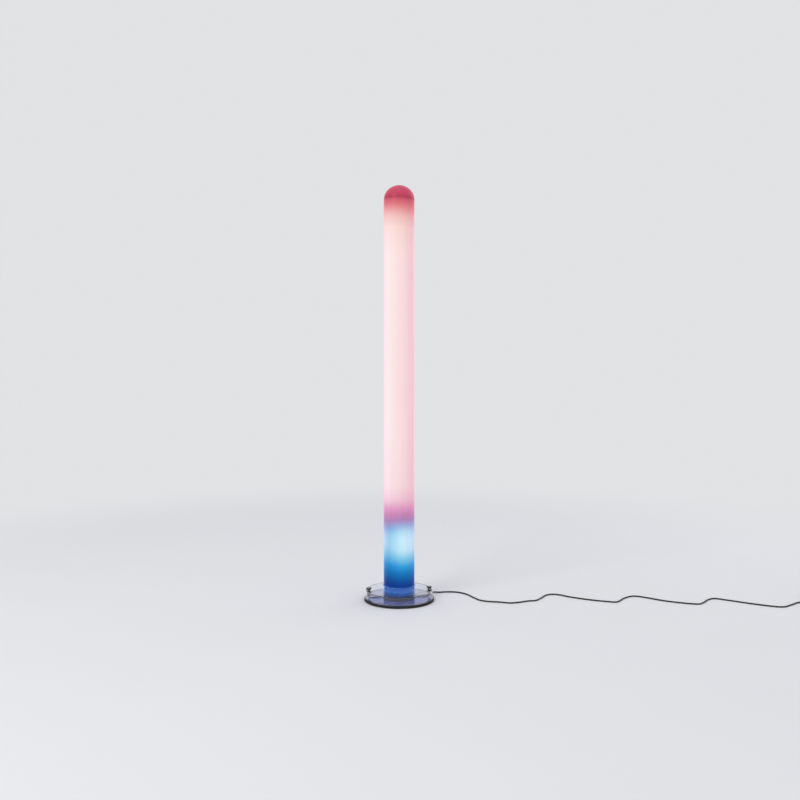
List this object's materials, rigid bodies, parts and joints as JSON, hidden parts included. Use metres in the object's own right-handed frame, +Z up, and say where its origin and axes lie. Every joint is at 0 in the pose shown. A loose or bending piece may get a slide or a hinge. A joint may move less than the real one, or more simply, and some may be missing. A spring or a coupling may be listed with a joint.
{
  "type": "tube floor lamp",
  "caption": "Tall opal light tube with a domed cap, pink over blue, standing in a collar on a low clear round foot with two dimmer knobs and a mains lead.",
  "frame": {"origin": "centre of the lamp's foot, on the floor", "axes": "+Z up along the light tube, +X to the right with the dimmer knobs at the sides, +Y to the back"},
  "size_m": [2.0178, 0.303, 1.8],
  "materials": {
    "foot_rubber": "moulded rubber, matt, slightly dusty",
    "clear_plate": "clear acrylic sheet with polished edge",
    "clear_cover": "clear moulded cover, polished",
    "clear_collar": "clear collar, turned and polished",
    "zinc_steel": "zinc plated steel",
    "black_steel": "blackened steel",
    "box_paint": "fine textured powder paint over the casting",
    "block_nylon": "natural nylon",
    "lead_pvc": "soft PVC sheath, satin",
    "sleeve_pvc": "moulded soft PVC",
    "control_case": "moulded case with metal bush",
    "spindle_steel": "turned steel",
    "knob_black": "gloss black moulding with spun top",
    "module_case": "grey moulded case",
    "deck_alu": "mill finish sheet",
    "holder_white": "white heat-proof moulding",
    "lamp_metal": "drawn aluminium",
    "blue_glass": "blue coated glass",
    "lamp_glass": "white coated glass with a pink tint",
    "deck_clear": "clear acrylic sheet",
    "spine_alu": "satin anodised extrusion and casting",
    "ballast_paint": "white painted steel case",
    "plug_nylon": "moulded nylon insert",
    "deck_white": "white sheet",
    "opal_tube": "extruded opal acrylic, satin, lit from inside",
    "opal_dome": "moulded opal acrylic, satin, lit from below",
    "tie_black": "hook and loop strap",
    "plug_pvc": "moulded soft PVC, satin",
    "pin_nickel": "nickel plated brass"
  },
  "bodies": {
    "root": {"foot_ring": "foot_rubber", "base_plate": "clear_plate", "clamp_disc": "black_steel", "clamp_screws": "zinc_steel", "base_cover": "clear_cover", "tube_collar": "clear_collar", "collar_screws": "black_steel", "wiring_box": "box_paint", "terminal_block": "block_nylon", "strain_relief": "sleeve_pvc", "inner_lead": "lead_pvc", "dimmer_control_left": "control_case", "dimmer_control_right": "control_case", "control_nuts": "zinc_steel", "control_leads": "lead_pvc", "dimmer_module_left": "module_case", "dimmer_module_right": "module_case", "gear_leads": "lead_pvc", "lamp_loom": "lead_pvc", "pillars": "zinc_steel", "pillar_nuts": "zinc_steel", "gear_deck": "deck_alu", "blue_lampholder": "holder_white", "blue_lamp_cap": "lamp_metal", "blue_lamp_glass": "blue_glass", "lamp_deck": "deck_clear", "spine_foot": "spine_alu", "spine_foot_screws": "zinc_steel", "spine": "spine_alu", "ballast": "ballast_paint", "ballast_screws": "zinc_steel", "lower_lampholders": "holder_white", "upper_lampholders": "holder_white", "long_lamp_caps": "lamp_metal", "long_lamp_glass": "lamp_glass", "spine_plug": "plug_nylon", "top_deck": "deck_white", "top_screw": "zinc_steel", "diffuser_tube": "opal_tube", "cap_gasket": "foot_rubber", "cord_run": "lead_pvc", "cord_coil": "lead_pvc", "coil_tie": "tie_black", "plug_body": "plug_pvc", "plug_pins": "pin_nickel"},
    "left_knob": {"knob_left": "knob_black", "spindle_left": "spindle_steel"},
    "right_knob": {"knob_right": "knob_black", "spindle_right": "spindle_steel"},
    "dome": {"dome_cap": "opal_dome"}
  },
  "joints": [
    {"name": "knob_left_turn", "type": "hinge", "parent": "root", "child": "left_knob", "pos_m": [-0.1309, -0.0126, 0.046], "axis": [0, 0, -1], "range_deg": [-280, 20]},
    {"name": "knob_right_turn", "type": "hinge", "parent": "root", "child": "right_knob", "pos_m": [0.1309, 0.0126, 0.046], "axis": [0, 0, -1], "range_deg": [-280, 20]},
    {"name": "dome_lift", "type": "slide", "parent": "root", "child": "dome", "axis": [0, 0, 1], "range_m": [0, 0.04]}
  ]
}
